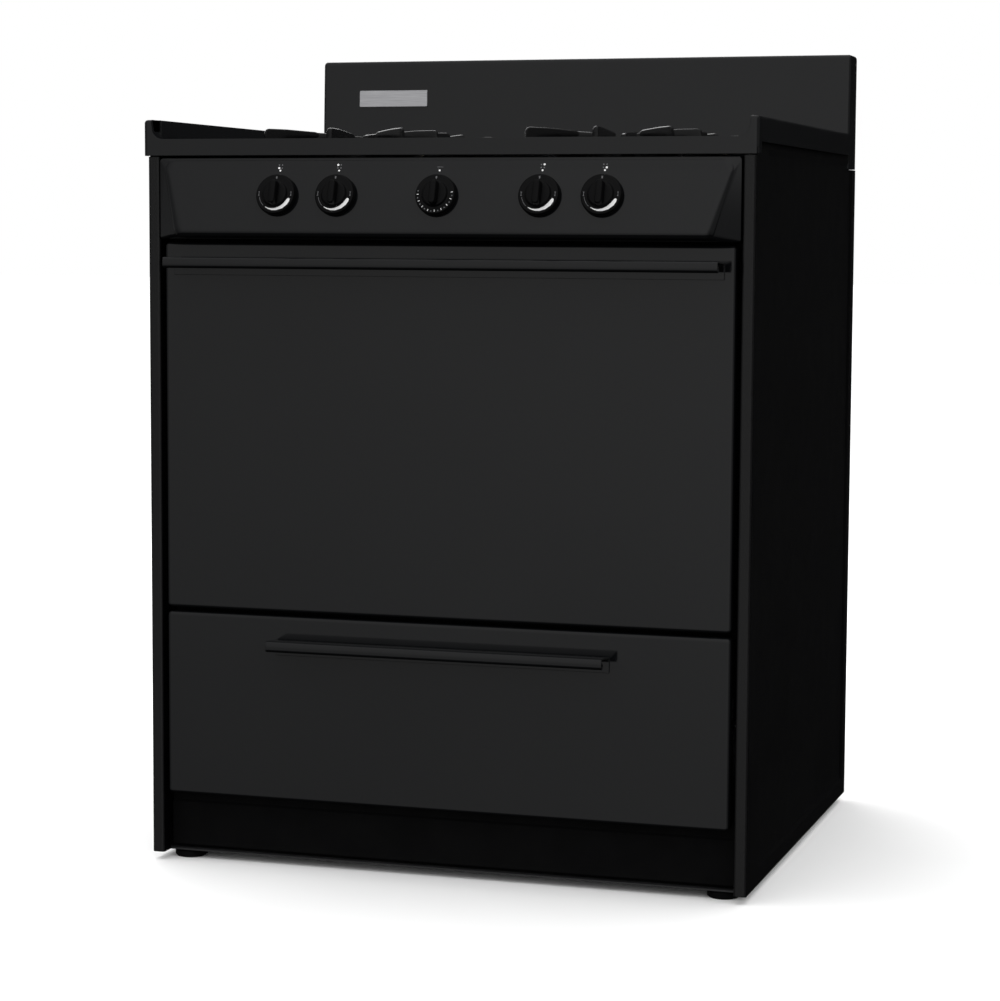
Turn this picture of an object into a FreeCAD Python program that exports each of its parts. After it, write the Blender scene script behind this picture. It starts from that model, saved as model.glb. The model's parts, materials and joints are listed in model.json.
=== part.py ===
import FreeCAD, Part
import math
import os

# Freestanding gas range, millimetres. +X is the viewer's right, +Y the back, +Z up.
# The origin is on the floor, under the centre of the whole range.

V = FreeCAD.Vector

# ---- driving dimensions ----
RIM_W = 762.0            # over the cooktop's side walls
BODY_W = 754.0           # over the side panels
FRONT = -292.0           # plane of the stiles, door face and drawer face
BACK = 352.0             # rear of the back panel
FOOT_H = 10.0            # side panels stand this far off the floor
SHEET = 1.2              # enamelled sheet steel
STILE = 15.5             # front flange of a side panel
EMBOSS_DEPTH = 2.2
SIDE_TOP = 893.0         # side panels end inside the cooktop's skirt
SKIRT_BOTTOM = 885.0     # lower edge of the cooktop's side skirts
FOOT_X = 342.0           # levelling feet
FOOT_Y = (-252.0, BACK - 30)

RIM_BOTTOM = 871.0       # lower edge of the cooktop's front skirt
LIP_TOP = 891.0          # cooktop's low front lip
WALL_TOP = 914.4         # cooktop's side walls, 36 in above the floor
TRAY_Z = 880.0           # cooktop's sunken floor
WALL_T = 13.0            # width of a side wall
RIM_FRONT = -296.0
RIM_BACK = 297.0
LID_AXIS = (291.0, 908.4)
LID_PIN_R = 2.5

GUARD_TOP = 1020.0
GUARD_FOOT_Y = 298.5
GUARD_HEAD_Y = 304.0

PANEL_HALF = 360.5       # control panel, half width at the stile plane
PANEL_TOP = 868.0
PANEL_BOTTOM = 770.0
FACE_TOP = (-295.0, 865.0)
FACE_BOTTOM = (-322.5, 775.0)
FACE_HALF = (355.5, 332.0)           # half widths of the sloped face, top and bottom

DOOR_HALF = 355.25
DOOR_Z = (319.0, 766.5)
DOOR_REAR = -256.0
DOOR_AXIS = (-280.0, 331.0)
DOOR_PIN_R = 4.0
HINGE_X = 330.0

DRAWER_Z = (86.0, 313.5)
DRAWER_BOX = (328.0, -271.0, 160.0, 100.0, 205.0)    # half width, front, back, bottom, top
HANDLE_PROUD = 38.0
DOOR_HANDLE_HALF = 342.0
DRAWER_HANDLE_HALF = 210.0

OVEN_HALF = 292.0
OVEN_Z = (348.0, 738.0)
OVEN_Y = (-252.0, 212.0)
RACK_Z = (470.0, 600.0)

OVEN_BURNER_Z = 314.0
FLUE_Y = 170.0           # flue collar on the oven's roof

BURNER_X = 168.0
BURNER_Y = (-118.0, 118.0)
BOWL_HOLE_R = 88.0
GRATE_HALF = 106.0       # half width of a grate's ring
GRATE_CORNER = 128.0     # reach of its short, diagonal arms
GRATE_ROUND = 45.0       # corner radius of its ring
GRATE_BAR = 7.0          # width of its ring
GRATE_TOP = 906.5
KNOB_X = (-201.0, -126.0, 0.0, 126.0, 201.0)
KNOB_NAMES = ("burner_left_front", "burner_left_rear", "oven", "burner_right_rear", "burner_right_front")
KNOB_Z = 822.5
KNOB_R = 25.0
KNOB_GAP = 3.0
SKIRT_T = 6.0            # knob skirt, thickness
HUB_R = 15.5
BAR_HALF_W = 4.8         # knob finger bar
KNOB_H = 17.5
MANIFOLD = (-246.0, 806.0, 10.5)     # y, z, radius
MANIFOLD_RUN_X = 350.0               # the pipe's run to the back
MIXER_Z = 824.0                      # height of the burner tubes
STEM_BORE_R = 3.05
GAS_INLET = (300.0, 106.0, 10.65)    # x, z, radius of the half-inch pipe


# ---- helpers ----
def rounded_wire(points, radii):
    """Closed wire through 3D points, each corner rounded to its own radius."""
    count = len(points)
    if not isinstance(radii, (list, tuple)):
        radii = [radii] * count
    edges = []
    corners = []
    for i in range(count):
        p, a, b = points[i], points[i - 1], points[(i + 1) % count]
        if radii[i] <= 0:
            corners.append((p, None, p))
            continue
        to_a, to_b = (a - p).normalize(), (b - p).normalize()
        half = to_a.getAngle(to_b) / 2
        reach = radii[i] / math.tan(half)
        centre = p + (to_a + to_b).normalize() * (radii[i] / math.sin(half))
        middle = centre + (p - centre).normalize() * radii[i]
        corners.append((p + to_a * reach, middle, p + to_b * reach))
    for i in range(count):
        start, middle, end = corners[i]
        if middle is not None:
            edges.append(Part.Arc(start, middle, end).toShape())
        following = corners[(i + 1) % count][0]
        if (following - end).Length > 1e-6:
            edges.append(Part.LineSegment(end, following).toShape())
    return Part.Wire(edges)


def place(plane, a, b, c):
    """A point from in-plane coordinates a, b and the height c along the plane's normal."""
    return {"X": V(c, a, b), "Y": V(a, c, b), "Z": V(a, b, c)}[plane]


def prism(points, radii, plane, start, end):
    """Extrude a rounded outline; plane X takes (y, z), Y takes (x, z), Z takes (x, y)."""
    wire = rounded_wire([place(plane, a, b, start) for a, b in points], radii)
    direction = place(plane, 0, 0, end) - place(plane, 0, 0, start)
    return Part.Face(wire).extrude(direction)


def box(x0, x1, y0, y1, z0, z1):
    return Part.makeBox(x1 - x0, y1 - y0, z1 - z0, V(x0, y0, z0))


def rounded_box(x0, x1, y0, y1, z0, z1, radius, plane="Z"):
    if plane == "X":
        return prism([(y0, z0), (y1, z0), (y1, z1), (y0, z1)], radius, "X", x0, x1)
    if plane == "Y":
        return prism([(x0, z0), (x1, z0), (x1, z1), (x0, z1)], radius, "Y", y0, y1)
    return prism([(x0, y0), (x1, y0), (x1, y1), (x0, y1)], radius, "Z", z0, z1)


def strip(path, thickness, bend, plane, start, end):
    """Bent sheet: path is one surface, the metal lies to the path's left, bends are rounded."""
    count = len(path)
    normals = []
    for i in range(count - 1):
        dx, dy = path[i + 1][0] - path[i][0], path[i + 1][1] - path[i][1]
        length = math.hypot(dx, dy)
        normals.append((-dy / length, dx / length))
    inner = []
    near, far = [0.0], [0.0]
    for i, (px, py) in enumerate(path):
        first = normals[max(i - 1, 0)]
        second = normals[min(i, count - 2)]
        sx, sy = first[0] + second[0], first[1] + second[1]
        scale = 2 * thickness / (sx * sx + sy * sy)
        inner.append((px + sx * scale, py + sy * scale))
        if 0 < i < count - 1:
            turn = first[0] * second[1] - first[1] * second[0]
            near.append(bend if turn < 0 else bend + thickness)
            far.append(bend + thickness if turn < 0 else bend)
    near.append(0.0)
    far.append(0.0)
    return prism(list(path) + inner[::-1], near + far[::-1], plane, start, end)


def rod(points, radius, bend=0.0):
    """Round bar or tube along a path of straight runs joined by tangent arcs."""
    edges = []
    end = points[0]
    for i in range(1, len(points) - 1):
        p = points[i]
        to_a, to_b = (points[i - 1] - p).normalize(), (points[i + 1] - p).normalize()
        half = to_a.getAngle(to_b) / 2
        reach = bend / math.tan(half)
        centre = p + (to_a + to_b).normalize() * (bend / math.sin(half))
        middle = centre + (p - centre).normalize() * bend
        edges.append(Part.LineSegment(end, p + to_a * reach).toShape())
        end = p + to_b * reach
        edges.append(Part.Arc(p + to_a * reach, middle, end).toShape())
    edges.append(Part.LineSegment(end, points[-1]).toShape())
    circle = Part.Wire(Part.Circle(points[0], points[1] - points[0], radius).toShape())
    return Part.Wire(edges).makePipeShell([circle], True, False)


def closed_rod(points, radius, bend):
    """Round bar bent into a closed loop."""
    loop = rounded_wire(points, bend)
    start = loop.Edges[1]
    tangent = start.tangentAt(start.FirstParameter)
    circle = Part.Wire(Part.Circle(start.Vertexes[0].Point, tangent, radius).toShape())
    edges = loop.Edges[1:] + loop.Edges[:1]
    return Part.Wire(edges).makePipeShell([circle], True, False)


def cylinder(radius, base, axis, length):
    return Part.makeCylinder(radius, length, base, axis)


def ring(outer, inner, base, axis, length):
    return cylinder(outer, base, axis, length).cut(cylinder(inner, base, axis, length))


def lathe(profile, centre):
    """Turn an (r, z) outline about the vertical through centre."""
    points = [V(r, 0, z) for r, z in profile]
    wire = Part.makePolygon(points + points[:1])
    solid = Part.Face(wire).revolve(V(0, 0, 0), V(0, 0, 1), 360)
    solid.translate(centre)
    return solid


def fuse(shapes):
    joined = shapes[0]
    if len(shapes) > 1:
        joined = shapes[0].multiFuse(shapes[1:])
    return joined.removeSplitter()


def cut(shape, tools):
    for tool in tools:
        shape = shape.cut(tool)
    return shape


def mirror_x(shape):
    return shape.mirror(V(0, 0, 0), V(1, 0, 0))


def pair(shape):
    return Part.makeCompound([shape, mirror_x(shape)])


def screw_head(point, axis, radius=4.2, height=2.2):
    """Pan head with a cross recess, standing on a surface."""
    head = cylinder(radius, point, axis, height)
    side = axis.cross(V(0, 0, 1) if abs(axis.z) < 0.9 else V(1, 0, 0)).normalize()
    top = point + axis * height
    for direction in (side, axis.cross(side)):
        start = top - direction * (radius * 0.6)
        head = head.cut(cylinder(0.55, start, direction, radius * 1.2))
    return head


def pan_to_back(half, z0, z1, y_front, y_back, sheet, corner, edge):
    """Front skin with four returned sides, open at the back, with a rounded front edge."""
    outer = rounded_box(-half, half, y_front, y_back, z0, z1, corner, "Y")
    front_edges = [e for e in outer.Edges if abs(e.BoundBox.YMax - y_front) < 1e-6]
    outer = outer.makeFillet(edge, front_edges)
    inner = rounded_box(-half + sheet, half - sheet, y_front + sheet, y_back + 1,
                        z0 + sheet, z1 - sheet, corner - sheet, "Y")
    inner_edges = [e for e in inner.Edges if abs(e.BoundBox.YMax - y_front - sheet) < 1e-6]
    inner = inner.makeFillet(edge - sheet, inner_edges)
    return outer.cut(inner)


def face_y(z):
    """Y of the control panel's sloped face at height z."""
    share = (FACE_TOP[1] - z) / (FACE_TOP[1] - FACE_BOTTOM[1])
    return FACE_TOP[0] + share * (FACE_BOTTOM[0] - FACE_TOP[0])


FACE_TILT = math.atan2(FACE_TOP[0] - FACE_BOTTOM[0], FACE_TOP[1] - FACE_BOTTOM[1])
KNOB_AXIS = V(0, -math.cos(FACE_TILT), math.sin(FACE_TILT))
FACE_UP = V(0, math.sin(FACE_TILT), math.cos(FACE_TILT))


def knob_point(x, height):
    """A point on a knob's axis, height above the control panel's face."""
    return V(x, face_y(KNOB_Z), KNOB_Z) + KNOB_AXIS * height


# ---- cabinet ----
def side_panel_right():
    half = BODY_W / 2
    path = [(half, BACK - 2.2), (half, FRONT), (half - STILE, FRONT), (half - STILE, FRONT + 20)]
    panel = strip(path[::-1], SHEET, 2.0, "Z", FOOT_H, SIDE_TOP)
    field = (FRONT + 70, BACK - 26, FOOT_H + 20, SKIRT_BOTTOM - 7)
    inset, slope = EMBOSS_DEPTH, 7.0
    backing = frustum_x(field, half - SHEET, half - SHEET - inset, slope)
    pocket = frustum_x(field, half, half - inset, slope)
    rear_flange = box(half - 16, half - SHEET, BACK - 3.4, BACK - 2.2, FOOT_H + 40, SIDE_TOP)
    panel = fuse([panel, backing, rear_flange])
    front_top = box(half - STILE - 2, half - SHEET - 1.5, FRONT - 1, FRONT + 22, RIM_BOTTOM - 1, SIDE_TOP + 1)
    front_corner = box(half - STILE - 2, half + 1, FRONT - 1, FRONT + 6, RIM_BOTTOM - 1, SIDE_TOP + 1)
    rear_top = box(half - 20, half + 1, RIM_BACK, BACK, RIM_BOTTOM - 4, SIDE_TOP + 1)
    return cut(panel, [pocket, front_top, front_corner, rear_top])


def frustum_x(field, x_wide, x_narrow, slope):
    """Sloped-sided slab that narrows from the plane x_wide to the plane x_narrow."""
    y0, y1, z0, z1 = field
    wide = Part.makePolygon([V(x_wide, y, z) for y, z in
                             ((y0, z0), (y1, z0), (y1, z1), (y0, z1), (y0, z0))])
    narrow = Part.makePolygon([V(x_narrow, y, z) for y, z in
                               ((y0 + slope, z0 + slope), (y1 - slope, z0 + slope),
                                (y1 - slope, z1 - slope), (y0 + slope, z1 - slope),
                                (y0 + slope, z0 + slope))])
    return Part.makeLoft([wide, narrow], True, True)


def back_panel():
    plate = box(-368, 368, BACK - 2.2, BACK - 1.0, 42, 868)
    for z in (260, 420, 580):
        rib = prism([(-300, z), (300, z), (300, z + 16), (-300, z + 16)], 7.9, "Y", BACK - 2.2, BACK)
        plate = plate.fuse(rib)
    slots = [rounded_box(x - 3, x + 3, BACK - 5, BACK + 2, 690, 760, 2.9, "Y") for x in range(-120, 121, 20)]
    slots += [rounded_box(x - 3, x + 3, BACK - 5, BACK + 2, 110, 155, 2.9, "Y") for x in range(-60, 61, 20)]
    gas_window = rounded_box(262, 364, BACK - 5, BACK + 2, 62, 150, 8, "Y")
    return cut(plate, slots + [gas_window])


def base_frame():
    rail = strip([(371, FOOT_H + 28), (371, FOOT_H + 2), (332, FOOT_H + 2)], 2.0, 1.5, "Y", -272, BACK - 8)
    shapes = [rail, mirror_x(rail)]
    for web, flange in ((-234, -272), (BACK - 11, BACK - 46)):
        path = [(web, FOOT_H + 28), (web, FOOT_H), (flange, FOOT_H)]
        shapes.append(strip(path[::-1], 2.0, 1.5, "X", -371, 371))
    frame = fuse(shapes)
    holes = [cylinder(4.6, V(x, y, 0), V(0, 0, 1), 40) for x in (-FOOT_X, FOOT_X) for y in FOOT_Y]
    return cut(frame, holes)


def levelling_feet():
    feet = []
    pad = [(0, 0), (18, 0), (20, 2), (20, 7), (17, 9.5), (8, 9.5)]
    bolt = [(8, FOOT_H), (4, FOOT_H), (4, 44), (0, 44)]
    corners = [math.radians(60 * k) for k in range(6)]
    for x in (-FOOT_X, FOOT_X):
        for y in FOOT_Y:
            hexagon = [(x + 8 * math.cos(a), y + 8 * math.sin(a)) for a in corners]
            nut = prism(hexagon, 0, "Z", FOOT_H + 2, FOOT_H + 8)
            feet.append(fuse([lathe(pad + bolt, V(x, y, 0)), nut]))
    return Part.makeCompound(feet)


def kick_plate():
    """Recessed plate, flanged to the back at both edges, with a small joggle near its top."""
    face, flange, joggle = FRONT + 24.5, FRONT + 31.5, FRONT + 27.0
    low, high = FOOT_H + 5, DRAWER_BOX[3] - 4
    path = [(flange, high), (joggle, high), (joggle, 73), (face, 70), (face, low), (flange, low)]
    return strip(path, SHEET, 1.4, "X", -360, 360)


# ---- oven ----
def oven_liner():
    y0, y1 = OVEN_Y
    z0, z1 = OVEN_Z
    shell = rounded_box(-OVEN_HALF - SHEET, OVEN_HALF + SHEET, y0, y1 + SHEET, z0 - 26, z1 + SHEET, 14, "Y")
    inside = rounded_box(-OVEN_HALF, OVEN_HALF, y0 - 1, y1, z0 - 60, z1, 13, "Y")
    flue_hole = cylinder(24, V(0, FLUE_Y, z1 - 2), V(0, 0, 1), 6)
    below = box(-400, 400, y0 - 1, y1 + 10, z0 - 60, z0 - 12)
    bulb_hole = cylinder(4, V(240, y1 - 3, 700), V(0, 1, 0), 8)
    return cut(shell, [inside, flue_hole, below, bulb_hole])


def front_frame():
    plate = rounded_box(-360, 360, OVEN_Y[0] - 1.5, OVEN_Y[0], DRAWER_BOX[4] + 6, 784, 2, "Y")
    opening = rounded_box(-OVEN_HALF, OVEN_HALF, OVEN_Y[0] - 4, OVEN_Y[0] + 4, OVEN_Z[0], OVEN_Z[1], 13, "Y")
    slots = [box(s * HINGE_X - 8, s * HINGE_X + 8, OVEN_Y[0] - 4, OVEN_Y[0] + 4, 320, 345) for s in (-1, 1)]
    return cut(plate, [opening] + slots)


def door_gasket():
    outer = rounded_box(-306, 306, OVEN_Y[0] - 3.7, OVEN_Y[0] - 1.5, 341, 752, 16, "Y")
    inner = rounded_box(-298, 298, OVEN_Y[0] - 6, OVEN_Y[0], 346, 744, 12, "Y")
    return outer.cut(inner)


def oven_floor():
    plate = box(-OVEN_HALF + 1, OVEN_HALF - 1, -246, 208, OVEN_Z[0] - 1.5, OVEN_Z[0])
    for z_side in (-1, 1):
        rib = prism([(z_side * 90 - 12, -200), (z_side * 90 + 12, -200), (z_side * 90 + 12, 160),
                     (z_side * 90 - 12, 160)], 11.9, "Z", OVEN_Z[0], OVEN_Z[0] + 2)
        plate = plate.fuse(rib)
    slots = []
    for x in (-272, 272):
        for y in range(-210, 171, 42):
            slots.append(rounded_box(x - 5, x + 5, y, y + 30, OVEN_Z[0] - 3, OVEN_Z[0] + 3, 4.9))
    return cut(plate, slots)


def oven_burner():
    z = OVEN_BURNER_Z
    tube = cylinder(19, V(0, -205, z), V(0, 1, 0), 400)
    mixer = cylinder(14, V(0, 190, z), V(0, 1, 0), 60)
    front_tab = box(-12, 12, OVEN_Y[0], -203, 313.5, 316)
    body = fuse([tube.cut(cylinder(17.5, V(0, -200, z), V(0, 1, 0), 360)), mixer, front_tab])
    ports = []
    for y in range(-190, 150, 14):
        for side in (-1, 1):
            ports.append(cylinder(1.4, V(0, y, z), V(side, 0, 0.25), 26))
    return cut(body, ports)


def flame_spreader():
    path = [(-120, 337.4), (-40, 344.2), (40, 344.2), (120, 337.4)]
    plate = strip(path, 1.5, 8, "Y", -215, 170)
    straps = [box(-OVEN_HALF, OVEN_HALF, y, y + 14, 336.4, 338.0) for y in (-200, 140)]
    return fuse([plate] + straps)


def insulation():
    y0, y1 = OVEN_Y
    gap = SHEET
    shapes = [
        box(-350, -OVEN_HALF - gap, y0 + 14, y1 + 40, 322, 770),
        box(OVEN_HALF + gap, 350, y0 + 14, y1 + 40, 322, 770),
        box(-OVEN_HALF - gap, OVEN_HALF + gap, y0 + 14, y1 + 40, OVEN_Z[1] + gap, 770),
        box(-OVEN_HALF - gap, OVEN_HALF + gap, y1 + gap, y1 + 40, 360, OVEN_Z[1] + gap),
    ]
    wrap = fuse(shapes)
    flue = cylinder(27, V(0, FLUE_Y, OVEN_Z[1]), V(0, 0, 1), 60)
    receivers = [box(s * HINGE_X - 9, s * HINGE_X + 9, y0, y0 + 62, 318, 366) for s in (-1, 1)]
    bulb = cylinder(6, V(240, y1, 700), V(0, 1, 0), 60)
    corners = box(-OVEN_HALF - gap, OVEN_HALF + gap, y0, y1 + gap, OVEN_Z[0], OVEN_Z[1] + gap)
    return cut(wrap, [flue, bulb, corners] + receivers)


def rack_guides():
    guides = []
    for z in RACK_Z:
        ledge = strip([(OVEN_HALF - 0.2, z + 7), (OVEN_HALF - 0.2, z - 4.5), (OVEN_HALF - 14, z - 4.5)][::-1],
                      1.2, 1.0, "Y", -225, 204)
        stop = box(OVEN_HALF - 14, OVEN_HALF - 0.2, 203, 205, z - 6, z + 10)
        guides.append(ledge.fuse(stop))
        guides.append(mirror_x(ledge.fuse(stop)))
    upright = box(OVEN_HALF - 1.6, OVEN_HALF - 0.2, -120, -104, 430, 660)
    upright_back = box(OVEN_HALF - 1.6, OVEN_HALF - 0.2, 120, 136, 430, 660)
    right = fuse([upright, upright_back, guides[0], guides[2]])
    return pair(right)


def oven_rack(z):
    y0, y1, half, wire = -208.0, 196.0, 284.0, 3.0
    frame = closed_rod([V(-half, y0, z), V(half, y0, z), V(half, y1, z), V(-half, y1, z)], wire, 14)
    bars = [rod([V(x, y0, z + 1.5), V(x, y1, z + 1.5)], 2.0) for x in range(-264, 265, 24)]
    cross = [rod([V(-half + 10, y, z - 2.5), V(half - 10, y, z - 2.5)], 2.4) for y in (y0 + 130, y1 - 120)]
    return fuse([frame] + bars + cross)


def thermostat():
    x = KNOB_X[2]
    body = Part.makeBox(40, 34, 44, V(x - 20, -17, -30))
    body.rotate(V(0, 0, 0), V(1, 0, 0), math.degrees(FACE_TILT))
    body.translate(knob_point(x, -38))
    nose = cylinder(9, knob_point(x, -14), KNOB_AXIS * -1, 10)
    pipe_y, pipe_z, pipe_r = MANIFOLD
    body = body.fuse(nose).cut(cylinder(pipe_r, V(x - 40, pipe_y, pipe_z), V(1, 0, 0), 80))
    body = body.cut(cylinder(STEM_BORE_R, knob_point(x, -10), KNOB_AXIS * -1, 18))
    capillary = rod([V(12, -268, 815), V(12, -268, 856), V(328, -268, 856), V(328, 262, 856),
                     V(328, 262, 700), V(240, 262, 700), V(240, 210, 700)], 1.2, 6)
    bulb = cylinder(3.4, V(240, 204, 700), V(0, -1, 0), 110)
    link = cylinder(1.2, V(240, 212, 700), V(0, -1, 0), 10)
    bracket = box(236, 244, 208.5, 210, 694, 706).cut(cylinder(1.2, V(240, 205, 700), V(0, 1, 0), 10))
    return fuse([body, capillary, link, bulb, bracket])


def gas_manifold():
    y, z, r = MANIFOLD
    pipe = ring(r, r - 2.6, V(-300, y, z), V(1, 0, 0), 600)
    cap = cylinder(r + 3, V(-306, y, z), V(1, 0, 0), 14)
    x = MANIFOLD_RUN_X
    route = [V(300, y, z), V(x, y, z), V(x, 276, z), V(x, 276, 130)]
    union = cylinder(r + 3, V(304, y, z), V(1, 0, 0), 12)
    solid = fuse([rod(route, r, 22), union])
    return fuse([pipe, cap, solid.cut(rod(route, r - 2.6, 22))])


def pressure_regulator():
    x, z, r = GAS_INLET
    body = fuse([
        cylinder(26, V(340, 276, 92), V(0, 0, 1), 16),
        Part.makeCone(26, 16, 10, V(340, 276, 108), V(0, 0, 1)),
        cylinder(14, V(340, 276, 84), V(0, 0, 1), 8),
        cylinder(13, V(MANIFOLD_RUN_X, 276, 108), V(0, 0, 1), 22),
        box(314, 352, 268, 284, 92, 108),
    ])
    inlet = cylinder(r, V(x, 270, z), V(0, 1, 0), 56)
    hexagon = prism([(x + 15 * math.cos(math.radians(60 * k)), z + 15 * math.sin(math.radians(60 * k)))
                     for k in range(6)], 0, "Y", 276, 292)
    block = box(x - 14, x + 20, 262, 282, z - 14, z + 14)
    bore = cylinder(r - 2.8, V(x, 284, z), V(0, 1, 0), 60)
    return cut(fuse([body, inlet, hexagon, block]), [bore])


def safety_valve():
    body = fuse([
        box(20, 62, 262, 300, 300, 336),
        cylinder(14, V(41, 281, 336), V(0, 0, 1), 14),
        cylinder(7, V(0, 258, OVEN_BURNER_Z), V(0, 1, 0), 22),
        box(-6, 24, 272, 288, 310, 326),
    ])
    return body


def oven_gas_tube():
    return rod([V(14, -258, 823), V(14, -226, 823), V(14, -226, 790), V(-356, -226, 790),
                V(-356, 281, 790), V(-356, 281, 400), V(41, 281, 400), V(41, 281, 350)], 4.0, 9)


# ---- burners ----
def burner_centres():
    return [(x, y) for x in (-BURNER_X, BURNER_X) for y in BURNER_Y]


def burner_box_floor():
    tray = box(-366, 366, -206, 296, 778, 779.2)
    lips = [box(s * 366 - (1.2 if s > 0 else 0), s * 366 + (0 if s > 0 else 1.2), -206, 240, 778, 812)
            for s in (-1, 1)]
    passages = [box(-62, 62, 138, 300, 770, 790)]
    for x, y, r in ((-356, 281, 7), (MANIFOLD_RUN_X, 276, 13), (328, 262, 4)):
        passages.append(cylinder(r, V(x, y, 770), V(0, 0, 1), 20))
    return cut(fuse([tray] + lips), passages)


def burner_heads():
    heads = []
    for x, y in burner_centres():
        profile = [(0, 842), (20, 842), (22, 850), (36, 862), (36, 870), (33, 876), (18, 878), (0, 878)]
        head = lathe(profile, V(x, y, 0))
        ports = []
        for k in range(24):
            a = math.radians(15 * k)
            ports.append(cylinder(1.6, V(x + 28 * math.cos(a), y + 28 * math.sin(a), 866),
                                  V(math.cos(a), math.sin(a), 0), 12))
        well = lathe([(0, 873.5), (12, 873.5), (15, 879), (0, 879)], V(x, y, 0))
        heads.append(cut(head, ports + [well]))
    return Part.makeCompound(heads)


def burner_tubes():
    tubes = []
    z = MIXER_Z
    for knob_x, (x, y) in zip((KNOB_X[0], KNOB_X[1], KNOB_X[4], KNOB_X[3]), burner_centres()):
        route = [V(knob_x, -200, z), V(knob_x, -160, z), V(x, y, z)]
        if y > 0:
            route = [V(knob_x, -200, z), V(knob_x, -40, z), V(x, y - 60, z), V(x, y + 6, z)]
        run = rod(route, 10, 8)
        shutter = cylinder(14, V(knob_x, -200, z), V(0, 1, 0), 14)
        mouth = cylinder(7.5, V(knob_x, -201, z), V(0, 1, 0), 30)
        base = cylinder(18, V(x, y, z - 10), V(0, 0, 1), 28)
        tubes.append(fuse([run, shutter, base]).cut(mouth))
    return Part.makeCompound(tubes)


def burner_valves():
    valves = []
    y, z, r = MANIFOLD
    for x in (KNOB_X[0], KNOB_X[1], KNOB_X[3], KNOB_X[4]):
        nose = cylinder(9, knob_point(x, -14), KNOB_AXIS * -1, 18)
        bore = cylinder(STEM_BORE_R, knob_point(x, -10), KNOB_AXIS * -1, 18)
        body = cylinder(12, knob_point(x, -28), KNOB_AXIS * -1, 22)
        saddle = box(x - 9, x + 9, y - 16, y - 2, z - 8, MIXER_Z + 6)
        hood = cylinder(5, V(x, y - 12, MIXER_Z), V(0, 1, 0), 52)
        valve = fuse([nose, body, saddle, hood]).cut(cylinder(r, V(x - 20, y, z), V(1, 0, 0), 40))
        valves.append(valve.cut(bore))
    return Part.makeCompound(valves)


def spark_electrodes():
    pins = []
    for x, y in burner_centres():
        side = 1 if x < 0 else -1
        foot = V(x + side * 27, y + 27, 0)
        pins.append(fuse([
            cylinder(3.2, foot + V(0, 0, 838), V(0, 0, 1), 20),
            cylinder(1.2, foot + V(0, 0, 856), V(0, 0, 1), 13),
            box(min(x, foot.x), max(x, foot.x), y + 18.2, y + 30, 836, 838.5),
        ]))
    return Part.makeCompound(pins)


# ---- cooktop ----
def cooktop():
    half = RIM_W / 2
    outer = rounded_box(-half, half, RIM_FRONT, RIM_BACK, RIM_BOTTOM, WALL_TOP, 5)
    outer = outer.makeFillet(4.0, [e for e in outer.Edges
                                   if abs(e.BoundBox.ZMin - WALL_TOP) < 1e-6 and e.BoundBox.YMax < RIM_BACK - 1])
    inner_half = half - WALL_T
    front_cut = prism([(-inner_half, LIP_TOP), (inner_half, LIP_TOP), (inner_half + 4, WALL_TOP + 6),
                       (-inner_half - 4, WALL_TOP + 6)], [13, 13, 0, 0], "Y", RIM_FRONT - 1, RIM_FRONT + 20)
    tray_cut = rounded_box(-inner_half, inner_half, RIM_FRONT + 12, RIM_BACK + 40, TRAY_Z, WALL_TOP + 5, 14)
    tray_cut = tray_cut.makeFillet(5, [e for e in tray_cut.Edges if abs(e.BoundBox.ZMax - TRAY_Z) < 1e-6])
    lid = cut(outer, [front_cut, tray_cut])
    rear_ramp = box(-inner_half, inner_half, RIM_BACK - 12, RIM_BACK, TRAY_Z - 1, LIP_TOP)
    lid = lid.fuse(rear_ramp)
    t = SHEET
    low = RIM_BOTTOM - 1
    under = box(-inner_half - 0.01, inner_half + 0.01, RIM_FRONT + 26, RIM_BACK - 14, low, TRAY_Z - t)
    front_hollow = box(-half + t, half - t, RIM_FRONT + t, RIM_FRONT + 26.1, low, TRAY_Z - t)
    lip_hollow = box(-inner_half + 12, inner_half - 12, RIM_FRONT + t, RIM_FRONT + 12 - t, low, LIP_TOP - t)
    rear_hollow = box(-inner_half, inner_half, RIM_BACK - 14.1, RIM_BACK + 1, low, LIP_TOP - t)
    rear_hollow = rear_hollow.cut(box(-400, 400, RIM_BACK - 15, RIM_BACK - 12, TRAY_Z - t, LIP_TOP))
    wall_hollows = []
    for side in (-1, 1):
        x_in, x_out = side * (inner_half + t), side * (half - t)
        x0, x1 = min(x_in, x_out), max(x_in, x_out)
        wall_hollows.append(box(x0, x1, RIM_FRONT + t + 4, LID_AXIS[0], low, WALL_TOP - t))
        wall_hollows.append(box(x0, x1, LID_AXIS[0] - 1, RIM_BACK + 1, low, LID_AXIS[1]))
        wall_hollows.append(cylinder(6.0 - t, V(x0, *LID_AXIS), V(1, 0, 0), WALL_T - 2 * t))
    lid = cut(lid, [under, front_hollow, lip_hollow, rear_hollow] + wall_hollows)
    for x, y in burner_centres():
        lid = lid.cut(cylinder(BOWL_HOLE_R, V(x, y, TRAY_Z - 10), V(0, 0, 1), 20))
    rear_round = box(-400, 400, LID_AXIS[0], RIM_BACK + 1, LID_AXIS[1], WALL_TOP + 1)
    rear_round = rear_round.cut(cylinder(6.0, V(-400, *LID_AXIS), V(1, 0, 0), 800))
    pin_holes = [cylinder(LID_PIN_R + 0.06, V(s * inner_half, *LID_AXIS), V(1, 0, 0), 8) for s in (-1, 1)]
    pin_holes += [cylinder(LID_PIN_R + 0.06, V(s * inner_half, *LID_AXIS), V(-1, 0, 0), 8) for s in (-1, 1)]
    below_skirts = [box(s * half - 6, s * half + 6, RIM_FRONT + 14, RIM_BACK + 1, low, SKIRT_BOTTOM) for s in (-1, 1)]
    return cut(lid, [rear_round] + pin_holes + below_skirts)


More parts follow.
